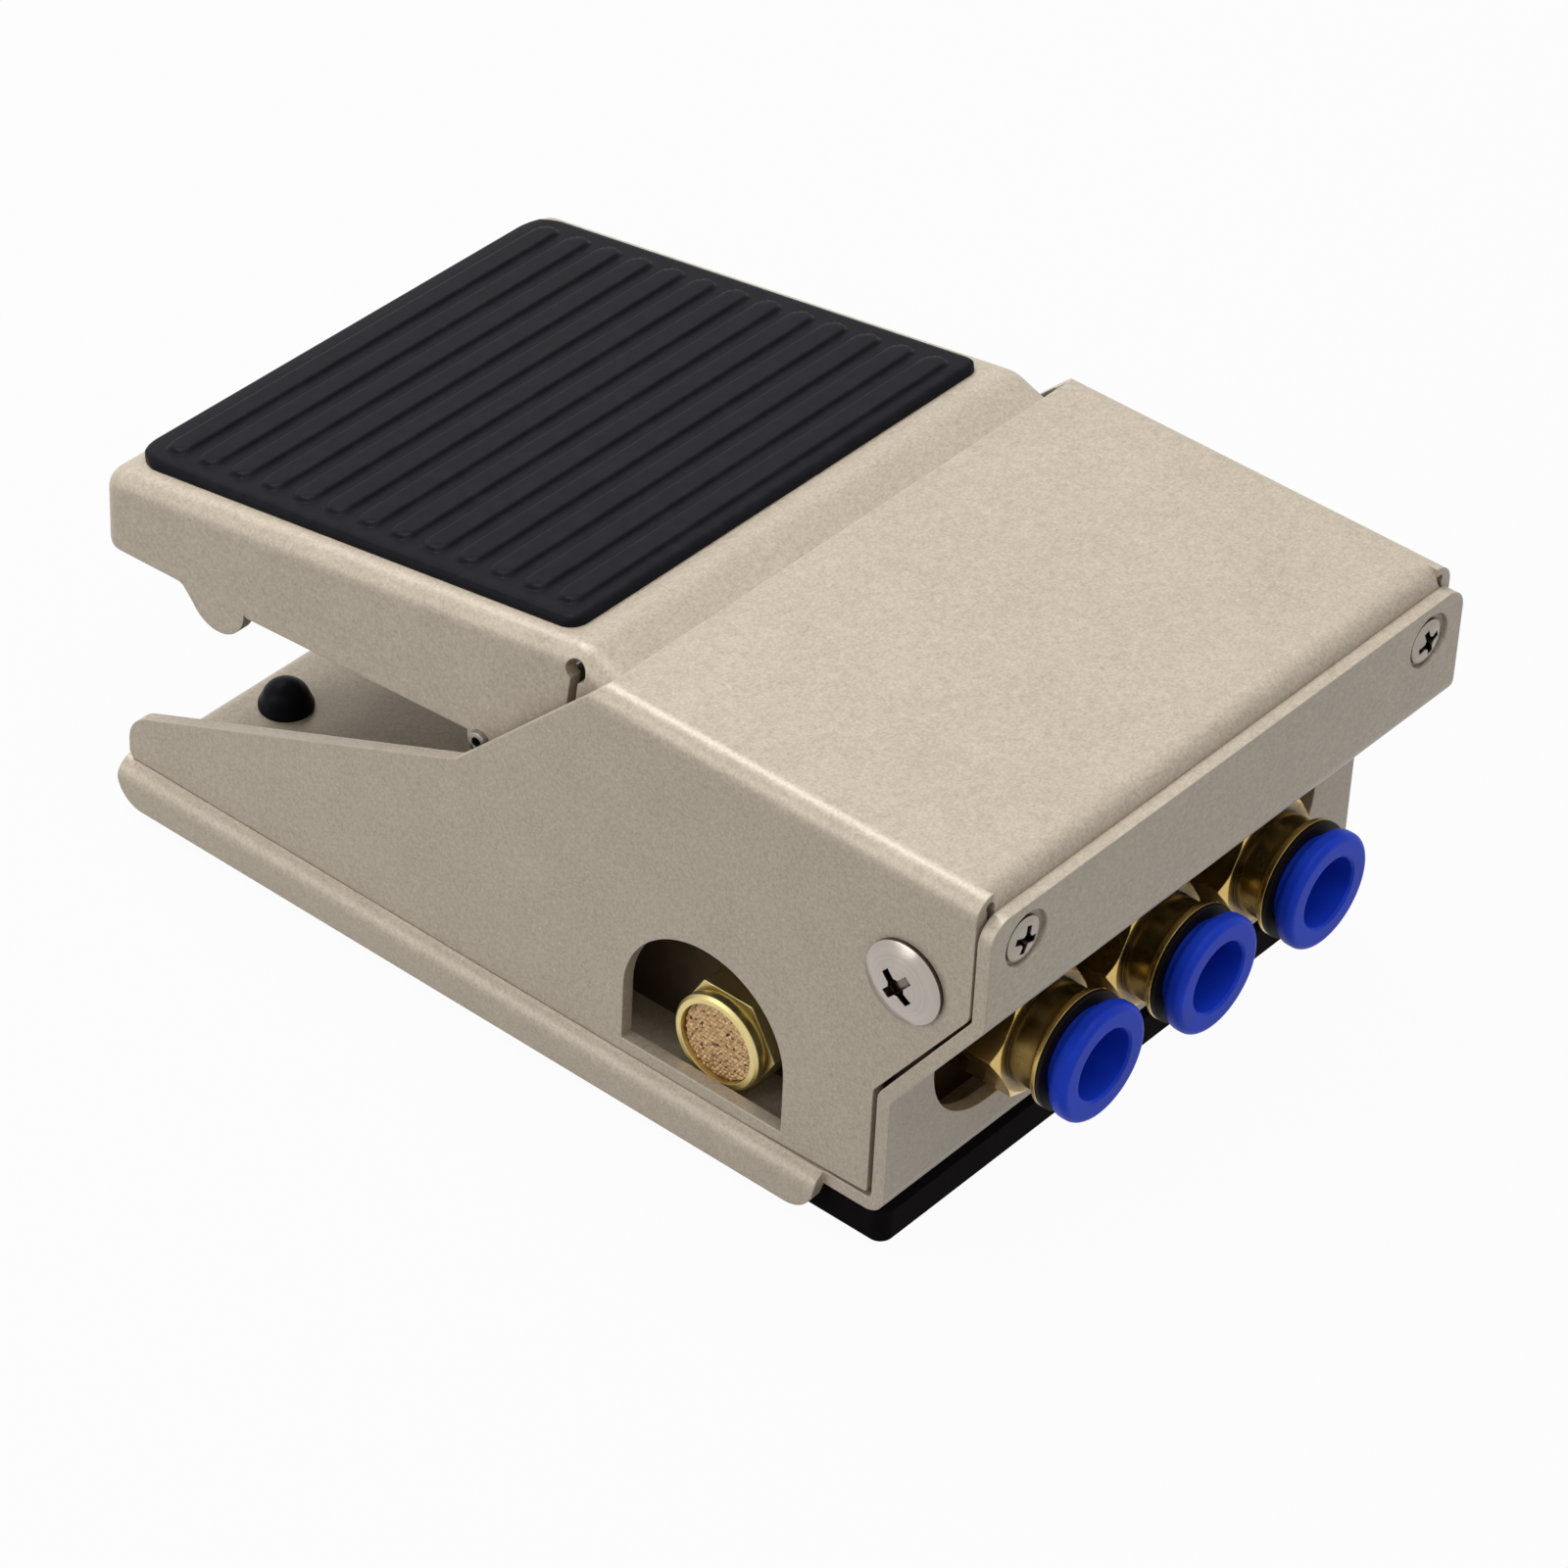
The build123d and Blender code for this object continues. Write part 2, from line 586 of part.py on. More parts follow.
# Valve block with its spool bore, three ports towards the tubes and an exhaust on each side
def valve_body():
    middle = (block_front + block_face) / 2
    block = along_z(Pos(0, middle) * Rectangle(2 * block_half, block_face - block_front), floor_top, block_top)
    block = chamfer(block.edges().group_by(Axis.Z)[-1], block_edge)
    block = fillet(block.edges().filter_by(Axis.Z), block_edge)
    block -= rod_z(spool_bore, 0, exhaust_y, spool_bore_bottom, block_top + 1)
    block -= rod_z(gland_thread + slip, 0, exhaust_y, block_top - gland_depth, block_top + 1)
    for side, x in port_places.items():
        level = port_z + port_levels[side]
        block -= rod_y(port_thread + slip, x, port_z, block_face - port_depth - 1, block_face + 1)
        block -= rod_y(port_gallery, x, level, exhaust_y, block_face)
        block -= rod_x(port_gallery, exhaust_y, level, min(x, 0), max(x, 0)) if x else Part()
    block -= rod_x(gallery_radius, exhaust_y, exhaust_z, -block_half, block_half)
    for side in (-1, 1):
        block -= rod_x(exhaust_thread + slip, exhaust_y, exhaust_z,
                       side * (block_half - exhaust_depth - 1), side * (block_half + 1))
    for x, y in block_screw_places:
        block -= rod_z(small_screw + slip, x, y, floor_top - 1, floor_top + small_length)
    return block


def spool_gland():
    gland = rod_z(gland_thread, 0, 0, block_top - gland_depth, block_top)
    gland += along_z(hexagon(gland_flats), block_top, block_top + gland_head)
    gland -= rod_z(stem_radius + slip, 0, 0, 0, block_top + gland_head + 1)
    groove = ring_wire + slip
    gland -= rod_z(stem_radius + slip + 2 * groove, 0, 0, gland_seal_z - groove, gland_seal_z + groove)
    return Pos(0, exhaust_y) * gland


def gland_seal():
    return Pos(0, exhaust_y, gland_seal_z) * Torus(stem_radius + slip + ring_wire, ring_wire)


def spool():
    land_top = block_top - gland_depth
    body = rod_z(spool_bore - slip, 0, 0, land_bottom, land_top)
    body += rod_z(stem_radius, 0, 0, land_top, plunger_top)
    body += rod_z(plunger_head_radius, 0, 0, plunger_top - plunger_head_thick, plunger_top)
    for z in spool_seal_places:
        groove = rod_z(spool_bore, 0, 0, z - ring_wire - slip, z + ring_wire + slip)
        body -= groove - rod_z(spool_bore - 2 * ring_wire - 2 * slip, 0, 0, 0, block_top)
    return Pos(0, exhaust_y) * body


def spool_seals():
    rings = [Pos(0, exhaust_y, z) * Torus(spool_bore - slip - ring_wire, ring_wire) for z in spool_seal_places]
    return Compound(children=rings)


def spool_spring():
    return Pos(0, exhaust_y) * coil(spool_spring_wire, spool_spring_mean, spool_spring_turns,
                                    spool_bore_bottom, land_bottom)


# Fittings are turned about their own axis, with z as the distance along Y, and then laid in their ports
def laid_in_port(shape, side):
    return Pos(port_places[side], 0, port_z) * Rot(X=-90) * shape


def fitting_body(side):
    start = block_face - port_depth
    rim_start = fitting_rim_end - fitting_rim_width
    body = turned([(0, start), (port_thread, start), (port_thread, block_face), (fitting_barrel, block_face),
                   (fitting_barrel, rim_start - 0.5), (fitting_rim - 0.2, rim_start), (fitting_rim, rim_start + 0.3),
                   (fitting_rim, fitting_rim_end), (0, fitting_rim_end)])
    nut = along_z(hexagon(fitting_flats), block_face, fitting_hex_end)
    corner = fitting_flats / math.sqrt(3) - 0.1
    nut = nut & turned([(0, block_face), (corner - 0.6, block_face), (corner, block_face + 1),
                        (corner, fitting_hex_end - 0.8), (corner - 1.1, fitting_hex_end), (0, fitting_hex_end)])
    body += nut
    body -= rod_z(passage_radius, 0, 0, start - 1, fitting_rim_end)
    body -= rod_z(tube_bore, 0, 0, fitting_seat_start, fitting_rim_end)
    body -= rod_z(collar_sleeve + slip, 0, 0, fitting_cavity_start, fitting_rim_end + 1)
    return laid_in_port(body, side)


def fitting_rings():
    inner = collar_sleeve + slip
    ring = turned([(inner, fitting_rim_end), (fitting_rim, fitting_rim_end),
                   (fitting_rim, fitting_rim_end + black_ring_thick), (inner, fitting_rim_end + black_ring_thick)])
    return Compound(children=[laid_in_port(ring, side) for side in port_places])


def tube_seals():
    wire = (collar_sleeve - tube_bore) / 2
    seal = Pos(0, 0, fitting_cavity_start + wire + slip) * Torus(tube_bore + slip + wire, wire)
    return Compound(children=[laid_in_port(seal, side) for side in port_places])


def collar(side):
    body = rod_z(collar_radius, 0, 0, collar_back, collar_face)
    body = fillet(body.edges().group_by(Axis.Z)[-1], collar_front_round)
    body = fillet(body.edges().group_by(Axis.Z)[0], collar_back_round)
    body += rod_z(collar_sleeve, 0, 0, collar_inner_end, collar_back + 1)
    body -= rod_z(tube_bore, 0, 0, collar_inner_end - 1, collar_face + 1)
    mouth = turned([(0, collar_face - collar_chamfer), (tube_bore, collar_face - collar_chamfer),
                    (tube_bore + collar_chamfer, collar_face), (0, collar_face)])
    return laid_in_port(body - mouth, side)


# Silencers are turned with z as the distance from the middle of the casing
def laid_in_exhaust(shape, side):
    right = Pos(0, exhaust_y, exhaust_z) * Rot(Y=90) * shape
    return right if side == "right" else mirrored(right)


def silencer_body(side):
    start = block_half - exhaust_depth
    rim_start = block_half + silencer_rim_start
    body = turned([(0, start), (exhaust_thread, start), (exhaust_thread, block_half), (element_radius + 0.6, block_half),
                   (element_radius + 0.6, rim_start), (silencer_rim, rim_start),
                   (silencer_rim, silencer_face - 0.4), (silencer_rim - 0.4, silencer_face), (0, silencer_face)])
    body += along_z(Rot(Z=90) * hexagon(silencer_flats), block_half, block_half + silencer_hex)
    body -= rod_z(gallery_radius, 0, 0, start - 1, silencer_face)
    body -= rod_z(element_radius, 0, 0, block_half + element_start, silencer_face + 1)
    return laid_in_exhaust(body, side)


def silencer_element(side):
    depth = silencer_face - 0.35
    disc = rod_z(element_radius - 0.02, 0, 0, block_half + element_start, depth)
    return laid_in_exhaust(chamfer(disc.edges().group_by(Axis.Z)[-1], 0.3), side)


# Screws driven from below, head in a hole of the mat
def screws_from_below(places):
    screw = Rot(X=180) * domed_screw(small_head, small_head_height, small_screw, small_length,
                                     small_recess, small_recess_depth)
    return Compound(children=[Pos(x, y, floor_bottom) * screw for x, y in places])


def foot_nuts():
    nut = along_z(hexagon(nut_flats), 0, nut_height) - rod_z(small_screw + slip, 0, 0, -1, nut_height + 1)
    return Compound(children=[Pos(x, y, floor_top + foot_thick) * nut for x, y in foot_screw_places])


def end_screws():
    flat = -end_dimple_depth
    bottom, edge = flat - end_head_depth, flat + end_head_edge
    screw = turned([(0, bottom - end_screw_length), (end_screw, bottom - end_screw_length), (end_screw, bottom),
                    (end_head, flat), (end_head, edge), (0, edge)]) + dome(end_head, edge, end_head_rise)
    screw -= Pos(0, 0, edge + end_head_rise) * cross_recess(end_recess, end_recess_depth)
    right = Pos(end_screw_x, strip_y + sheet, end_screw_z) * Rot(X=-90) * Rot(Z=-end_recess_turn) * screw
    return Compound(children=[right, mirrored(right)])


os.makedirs("parts", exist_ok=True)

pieces = {
    "base_plate": base_plate(),
    "base_mat": base_mat(),
    "cover": cover(),
    "cover_end_screws": end_screws(),
    "cover_foot_screws": screws_from_below(foot_screw_places),
    "cover_foot_nuts": foot_nuts(),
    "toe_bumpers": toe_bumpers(),
    "pivot_axle": pivot_axle(),
    "pivot_screws": pivot_screws(),
    "pedal_plate": pedal(),
    "pedal_pad": pedal_pad(),
    "pedal_bushes": pedal_bushes(),
    "pedal_cross_pin": cross_pin(),
    "pusher_screw": pusher_screw(),
    "pusher_locknut": pusher_nut(),
    "spring_cap": spring_cap(),
    "spring_post": spring_post(),
    "return_spring": return_spring(),
    "valve_body": valve_body(),
    "valve_screws": screws_from_below(block_screw_places),
    "spool_gland": spool_gland(),
    "gland_seal": gland_seal(),
    "spool": spool(),
    "spool_seals": spool_seals(),
    "spool_spring": spool_spring(),
    "fitting_rings": fitting_rings(),
    "tube_seals": tube_seals(),
}
for side in port_places:
    pieces["fitting_body_" + side] = fitting_body(side)
    pieces["fitting_collar_" + side] = collar(side)
for side in ("left", "right"):
    pieces["silencer_body_" + side] = silencer_body(side)
    pieces["silencer_element_" + side] = silencer_element(side)

for name, shape in pieces.items():
    export_step(shape, "parts/" + name + ".step")
    print(name, "solids", len(shape.solids()), "volume", round(shape.volume, 1))
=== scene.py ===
import bpy
import json
import math
import random
from mathutils import Matrix, Vector

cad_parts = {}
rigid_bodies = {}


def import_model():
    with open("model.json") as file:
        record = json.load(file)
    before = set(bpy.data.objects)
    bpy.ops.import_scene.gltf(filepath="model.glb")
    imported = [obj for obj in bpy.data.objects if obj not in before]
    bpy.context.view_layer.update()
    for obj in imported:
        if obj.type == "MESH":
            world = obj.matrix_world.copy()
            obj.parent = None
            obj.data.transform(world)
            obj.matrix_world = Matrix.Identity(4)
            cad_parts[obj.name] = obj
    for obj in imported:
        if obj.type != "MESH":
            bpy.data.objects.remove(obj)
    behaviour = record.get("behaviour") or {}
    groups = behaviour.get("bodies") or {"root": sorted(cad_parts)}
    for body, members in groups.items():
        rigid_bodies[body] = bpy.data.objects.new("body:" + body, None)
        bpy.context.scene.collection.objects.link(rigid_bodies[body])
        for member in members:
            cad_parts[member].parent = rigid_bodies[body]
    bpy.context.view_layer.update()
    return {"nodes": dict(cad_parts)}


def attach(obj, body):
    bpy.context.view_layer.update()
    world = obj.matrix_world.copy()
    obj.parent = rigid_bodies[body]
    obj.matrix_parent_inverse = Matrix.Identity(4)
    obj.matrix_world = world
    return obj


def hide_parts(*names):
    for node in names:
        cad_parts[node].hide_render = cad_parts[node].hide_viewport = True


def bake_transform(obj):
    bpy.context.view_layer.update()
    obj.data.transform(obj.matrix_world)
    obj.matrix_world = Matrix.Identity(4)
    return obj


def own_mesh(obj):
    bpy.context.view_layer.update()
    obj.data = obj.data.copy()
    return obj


# Foot pedal air valve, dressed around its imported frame. Metres, Z up, toe towards -Y, tubes towards +Y.

for leftover in list(bpy.data.objects):
    bpy.data.objects.remove(leftover)

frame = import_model()
nodes = frame["nodes"]
mm = 0.001
print("frame loaded:", len(nodes), "nodes")


# Shader maths: a socket that understands Python's operators
class Value:
    def __init__(self, finish, link):
        self.finish = finish
        self.link = link

    def maths(self, operation, other, swapped=False):
        pair = (other, self) if swapped else (self, other)
        return self.finish.node("ShaderNodeMath", {"operation": operation}, {0: pair[0], 1: pair[1]})

    def __add__(self, other):
        return self.maths("ADD", other)

    def __radd__(self, other):
        return self.maths("ADD", other, True)

    def __sub__(self, other):
        return self.maths("SUBTRACT", other)

    def __rsub__(self, other):
        return self.maths("SUBTRACT", other, True)

    def __mul__(self, other):
        return self.maths("MULTIPLY", other)

    def __rmul__(self, other):
        return self.maths("MULTIPLY", other, True)

    def __pow__(self, other):
        return self.maths("POWER", other)

    def __rpow__(self, other):
        return self.maths("POWER", other, True)


# The node tree of one material or of the world; every node comes from node()
class Finish:
    def __init__(self, owner, end="ShaderNodeOutputMaterial"):
        owner.use_nodes = True
        self.material = owner
        self.tree = owner.node_tree
        self.tree.nodes.clear()
        self.output = self.tree.nodes.new(end)

    def node(self, kind, settings=None, inputs=None, output=0):
        made = self.tree.nodes.new(kind)
        for key, setting in (settings or {}).items():
            setattr(made, key, setting)
        for key, value in (inputs or {}).items():
            if isinstance(value, Value):
                self.tree.links.new(value.link, made.inputs[key])
            else:
                made.inputs[key].default_value = value
        return Value(self, made.outputs[output])

    def place(self):
        return self.node("ShaderNodeTexCoord", output="Object")

    def grain(self, where, scale, detail=2.0, rough=0.5):
        return self.node("ShaderNodeTexNoise", None,
                         {"Vector": where, "Scale": scale, "Detail": detail, "Roughness": rough}, "Fac")

    def between(self, low, high, source):
        return self.node("ShaderNodeMapRange", {"clamp": True},
                         {"Value": source, "From Min": low, "From Max": high})

    def blend(self, share, first, second):
        return self.node("ShaderNodeMix", {"data_type": "RGBA"}, {"Factor": share, 6: first, 7: second}, 2)

    # Normals rounded off at sharp edges, and a mask of those edges
    def softEdges(self, radius):
        return self.node("ShaderNodeBevel", {"samples": 4}, {"Radius": radius})

    def edgeMask(self, soft, faint=0.995, full=0.9):
        flat = self.node("ShaderNodeNewGeometry", output="Normal")
        alike = self.node("ShaderNodeVectorMath", {"operation": "DOT_PRODUCT"}, {0: soft, 1: flat}, "Value")
        return self.between(faint, full, alike)

    # How open a place is, from 0 deep in a recess to 1 on a free face
    def openness(self, reach):
        return self.node("ShaderNodeAmbientOcclusion", {"samples": 6}, {"Distance": reach}, "AO")

    def bump(self, height, depth, strength=1.0, soft=None):
        inputs = {"Height": height, "Distance": depth, "Strength": strength}
        if soft:
            inputs["Normal"] = soft
        return self.node("ShaderNodeBump", None, inputs)

    # Rays that see the white background: the camera's, mirror images and what shows through
    def whiteRays(self):
        rays = [self.node("ShaderNodeLightPath", output="Is %s Ray" % kind)
                for kind in ("Camera", "Glossy", "Transmission")]
        return self.between(0.0, 1.0, rays[0] + rays[1] + rays[2])

    def finishWith(self, shader):
        self.tree.links.new(shader.link, self.output.inputs["Surface"])
        return self.material

    def surface(self, **sockets):
        named = {key.replace("_", " "): value for key, value in sockets.items()}
        return self.finishWith(self.node("ShaderNodeBsdfPrincipled", None, named))


def rgb(red, green, blue):
    def linear(level):
        level /= 255
        return level / 12.92 if level <= 0.04045 else ((level + 0.055) / 1.055) ** 2.4
    return (linear(red), linear(green), linear(blue), 1.0)


# Champagne paint: metal flakes in a satin coat with a little orange peel, paler and glossier on the sharp edges
paintLook = {
    "light": rgb(198, 185, 167),
    "dark": rgb(164, 152, 135),
    "edge": rgb(216, 206, 190),
    "flakeScale": 2600,
    "speckScale": 0.45,                 # of the flakes' scale
    "cloudScale": 120,
    "shares": {"flake": 0.5, "speck": 0.35, "cloud": 0.15},
    "tone": (0.3, 0.7),
    "edgeShare": 0.6,
    "metallic": 0.1,
    "roughness": 0.38,
    "speckRoughness": 0.18,
    "edgeRoughness": 0.06,
    "gloss": 0.42,
    "peelDepth": 0.02 * mm,
    "peelStrength": 0.6,
    "edgeRound": 0.35 * mm,
}


def champagnePaint():
    look = paintLook
    finish = Finish(bpy.data.materials.new("champagnePaint"))
    where = finish.place()
    flake = finish.grain(where, look["flakeScale"], 1.0)
    speck = finish.grain(where, look["flakeScale"] * look["speckScale"], 2.0)
    cloud = finish.grain(where, look["cloudScale"], 3.0)
    shares = look["shares"]
    mixed = flake * shares["flake"] + speck * shares["speck"] + cloud * shares["cloud"]
    tone = finish.between(*look["tone"], mixed)
    soft = finish.softEdges(look["edgeRound"])
    paleEdge = finish.edgeMask(soft)
    body = finish.blend(tone, look["dark"], look["light"])
    return finish.surface(
        Base_Color=finish.blend(paleEdge * look["edgeShare"], body, look["edge"]),
        Metallic=look["metallic"],
        Specular_IOR_Level=look["gloss"],
        Roughness=look["roughness"] + (speck - 0.5) * look["speckRoughness"] - paleEdge * look["edgeRoughness"],
        Normal=finish.bump(flake + speck, look["peelDepth"], look["peelStrength"], soft))


# Rubber: a fine moulded grain, dusty in soft patches
rubberLook = {
    "grainScale": 5200,
    "grainStrength": 0.5,
    "patchScale": 380,
    "patch": (0.45, 0.75),
    "patchRoughness": 0.22,
    "dustLevel": 0.004,
    "edgeRound": 0.3 * mm,
}


def rubber(name, colour, roughness, grainDepth, dust, sheen):
    look = rubberLook
    finish = Finish(bpy.data.materials.new(name))
    where = finish.place()
    fine = finish.grain(where, look["grainScale"], 2.0)
    soft = finish.grain(where, look["patchScale"], 3.0)
    wipe = finish.between(*look["patch"], soft)
    dusty = tuple(min(1.0, level * (1 + dust) + look["dustLevel"] * dust) for level in colour[:3]) + (1.0,)
    return finish.surface(
        Base_Color=finish.blend(wipe, colour, dusty),
        Roughness=roughness + (soft - 0.5) * look["patchRoughness"],
        Specular_IOR_Level=sheen,
        Normal=finish.bump(fine, grainDepth, look["grainStrength"], finish.softEdges(look["edgeRound"])))


# Moulded plastic with a faint flow in its gloss
plasticLook = {
    "flowScale": 240,
    "flow": (0.3, 0.7),
    "flowRoughness": 0.16,
    "grainScale": 4200,
    "grainDepth": 0.008 * mm,
    "grainStrength": 0.4,
    "gloss": 0.13,
    "edgeRound": 0.25 * mm,
}


def plastic(name, colour, shade, roughness):
    look = plasticLook
    finish = Finish(bpy.data.materials.new(name))
    where = finish.place()
    flow = finish.grain(where, look["flowScale"], 3.0)
    fine = finish.grain(where, look["grainScale"], 2.0)
    soft = finish.softEdges(look["edgeRound"])
    return finish.surface(
        Base_Color=finish.blend(finish.between(*look["flow"], flow), shade, colour),
        Roughness=roughness + (flow - 0.5) * look["flowRoughness"],
        Specular_IOR_Level=look["gloss"],
        Normal=finish.bump(fine, look["grainDepth"], look["grainStrength"], soft))


# Turned metal: rings round the piece's own axis, read from its bounding box
turnedLook = {
    "stainScale": 420,
    "tone": (0.25, 0.75),
    "stainRoughness": 0.2,
    "ringDepth": 0.012 * mm,
    "ringStrength": 0.35,
    "edgeRound": 0.2 * mm,
    # colour of the painted shade in recesses
    "recessShadeColour": rgb(58, 47, 38),
    "recessShadeRange": (0.6, 0.97),           # openness where the painted shade is full and where it ends
}


def turnedMetal(name, colour, shade, roughness, axis, ringScale=90, tarnish=0.4, recessShadeReach=0.0):
    look = turnedLook
    finish = Finish(bpy.data.materials.new(name))
    spot = finish.node("ShaderNodeSeparateXYZ", None,
                       {"Vector": finish.node("ShaderNodeTexCoord", output="Generated")})
    parts = {letter: Value(finish, spot.link.node.outputs[number]) for number, letter in enumerate("xyz")}
    along = parts.pop(axis)
    across = [part - 0.5 for part in parts.values()]
    radius = (across[0] * across[0] + across[1] * across[1]) ** 0.5
    ringPlace = finish.node("ShaderNodeCombineXYZ", None,
                            {"X": along * ringScale, "Y": radius * ringScale, "Z": 0.0})
    rings = finish.grain(ringPlace, 1.0, 3.0)
    stain = finish.grain(finish.place(), look["stainScale"], 4.0)
    tone = finish.between(*look["tone"], rings * 0.5 + stain * tarnish + (0.5 - tarnish / 2) * 0.5)
    body = finish.blend(tone, shade, colour)
    if recessShadeReach:                           # painted shade: darker in recesses about this deep
        body = finish.blend(finish.between(*look["recessShadeRange"], finish.openness(recessShadeReach)), look["recessShadeColour"], body)
    soft = finish.softEdges(look["edgeRound"])
    return finish.surface(
        Base_Color=body,
        Metallic=1.0,
        Roughness=roughness + (stain - 0.5) * look["stainRoughness"],
        Normal=finish.bump(rings, look["ringDepth"], look["ringStrength"], soft))


# Sintered bronze: pale grains, with painted shade in dark spots that stand for the pores between them
bronzeLook = {
    "dark": rgb(176, 140, 98),
    "light": rgb(208, 176, 132),
    "poreShade": rgb(84, 54, 34),
    "tintScale": 1100,
    "tint": (0.35, 0.65),
    "poreScale": 1500,
    "poreShadeBand": (0.6, 0.68),
    "grainScale": 5200,
    "grainDepth": 0.03 * mm,
    "grainStrength": 0.4,
    "metallic": 0.55,
    "roughness": 0.42,
    "grainRoughness": 0.25,
}


def sinteredBronze():
    look = bronzeLook
    finish = Finish(bpy.data.materials.new("sinteredBronze"))
    where = finish.place()
    tint = finish.grain(where, look["tintScale"], 2.0)
    fine = finish.grain(where, look["grainScale"], 3.0)
    # painted shade: dark noise spots where the pores lie in shade
    poreShadeMask = finish.between(*look["poreShadeBand"], finish.grain(where, look["poreScale"], 1.0))
    metal = finish.blend(finish.between(*look["tint"], tint), look["dark"], look["light"])
    return finish.surface(
        Base_Color=finish.blend(poreShadeMask, metal, look["poreShade"]),
        Metallic=look["metallic"],
        Roughness=look["roughness"] + fine * look["grainRoughness"],
        Normal=finish.bump(fine, look["grainDepth"], look["grainStrength"]))


champagne = champagnePaint()
padRubber = rubber("padRubber", rgb(24, 24, 29), 0.32, 0.02 * mm, 0.25, 0.035)
blackRubber = rubber("blackRubber", rgb(14, 11, 11), 0.7, 0.03 * mm, 0.4, 0.02)
bluePlastic = plastic("bluePlastic", rgb(30, 72, 224), rgb(24, 60, 202), 0.42)
darkPlastic = plastic("darkPlastic", rgb(30, 23, 18), rgb(20, 16, 13), 0.5)
blockPlastic = plastic("blockPlastic", rgb(84, 68, 52), rgb(70, 56, 43), 0.6)
# The last number of the fittings' brass and the screws is how deep their painted shade reaches into recesses
brassAlongY = turnedMetal("turnedBrass", rgb(214, 186, 118), rgb(180, 148, 80), 0.25, "y", 90, 0.4, 3.0 * mm)
brassAlongX = turnedMetal("paleBrass", rgb(224, 208, 148), rgb(204, 186, 122), 0.4, "x")
brassAlongZ = turnedMetal("glandBrass", rgb(206, 172, 104), rgb(176, 140, 74), 0.32, "z")
steelAlongX = turnedMetal("turnedSteel", rgb(172, 169, 164), rgb(140, 137, 132), 0.3, "x")
steelAlongZ = turnedMetal("groundSteel", rgb(176, 173, 168), rgb(146, 143, 138), 0.3, "z")
nickelScrew = turnedMetal("nickelScrew", rgb(184, 175, 167), rgb(160, 151, 144), 0.2, "x", 40, 0.3, 1.8 * mm)
nickelAlongY = turnedMetal("greyNickelScrew", rgb(160, 152, 142), rgb(136, 128, 119), 0.28, "y", 10, 0.5, 1.0 * mm)
nickelAlongZ = turnedMetal("nickelFastener", rgb(176, 168, 160), rgb(150, 142, 135), 0.26, "z", 20, 0.4, 1.0 * mm)
bronze = sinteredBronze()
print("finishes made:", len(bpy.data.materials))

finishOf = {
    "base_plate": champagne, "cover": champagne, "pedal_plate": champagne,
    "base_mat": blackRubber, "toe_bumpers": padRubber, "gland_seal": blackRubber,
    "spool_seals": blackRubber, "tube_seals": blackRubber, "pedal_pad": padRubber,
    "cover_end_screws": nickelAlongY, "cover_foot_screws": nickelAlongZ, "cover_foot_nuts": nickelAlongZ,
    "pivot_screws": nickelScrew, "valve_screws": nickelAlongZ, "pivot_axle": steelAlongX,
    "pedal_cross_pin": steelAlongX, "pusher_screw": steelAlongZ, "pusher_locknut": steelAlongZ,
    "spring_post": steelAlongZ, "return_spring": steelAlongZ, "spool": steelAlongZ, "spool_spring": steelAlongZ,
    "pedal_bushes": darkPlastic, "spring_cap": darkPlastic, "fitting_rings": darkPlastic,
    "valve_body": blockPlastic, "spool_gland": brassAlongZ,
}
for side in ("left", "centre", "right"):
    finishOf["fitting_body_" + side] = brassAlongY
    finishOf["fitting_collar_" + side] = bluePlastic
for side in ("left", "right"):
    finishOf["silencer_body_" + side] = brassAlongX
    finishOf["silencer_element_" + side] = bronze

for name, finish in finishOf.items():
    piece = nodes[name]
    if not piece.material_slots:
        piece.data.materials.append(finish)
    for materialSlot in piece.material_slots:
        materialSlot.material = finish
print("finishes given to", len(finishOf), "nodes")


# A mesh piece that rides on a body and stands for one CAD node
def addPiece(name, points, faces, finish, body, standsFor):
    mesh = bpy.data.meshes.new(name)
    mesh.from_pydata([tuple(point) for point in points], [], faces)
    mesh.validate()
    mesh.update()
    mesh.shade_smooth()
    mesh.materials.append(finish)
    piece = bpy.data.objects.new(name, mesh)
    bpy.context.scene.collection.objects.link(piece)
    if body:
        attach(piece, body)
    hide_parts(standsFor)
    return piece


# Faces of a grid of points, given row by row
def gridFaces(rows, columns):
    return [(row * columns + column, row * columns + column + 1,
             (row + 1) * columns + column + 1, (row + 1) * columns + column)
            for row in range(rows - 1) for column in range(columns - 1)]


# The grid's outermost points, once round
def gridRim(rows, columns):
    last = rows - 1
    rim = list(range(columns)) + [row * columns + columns - 1 for row in range(1, rows)]
    rim += [last * columns + column for column in range(columns - 2, -1, -1)]
    return rim + [row * columns for row in range(last - 1, 0, -1)]


# A skirt from the rim to the lowered points, which follow the grid's own, and a bottom
def closingFaces(rim, first):
    count = len(rim)
    skirt = [(rim[k], first + k, first + (k + 1) % count, rim[(k + 1) % count]) for k in range(count)]
    return skirt + [tuple(first + k for k in reversed(range(count)))]


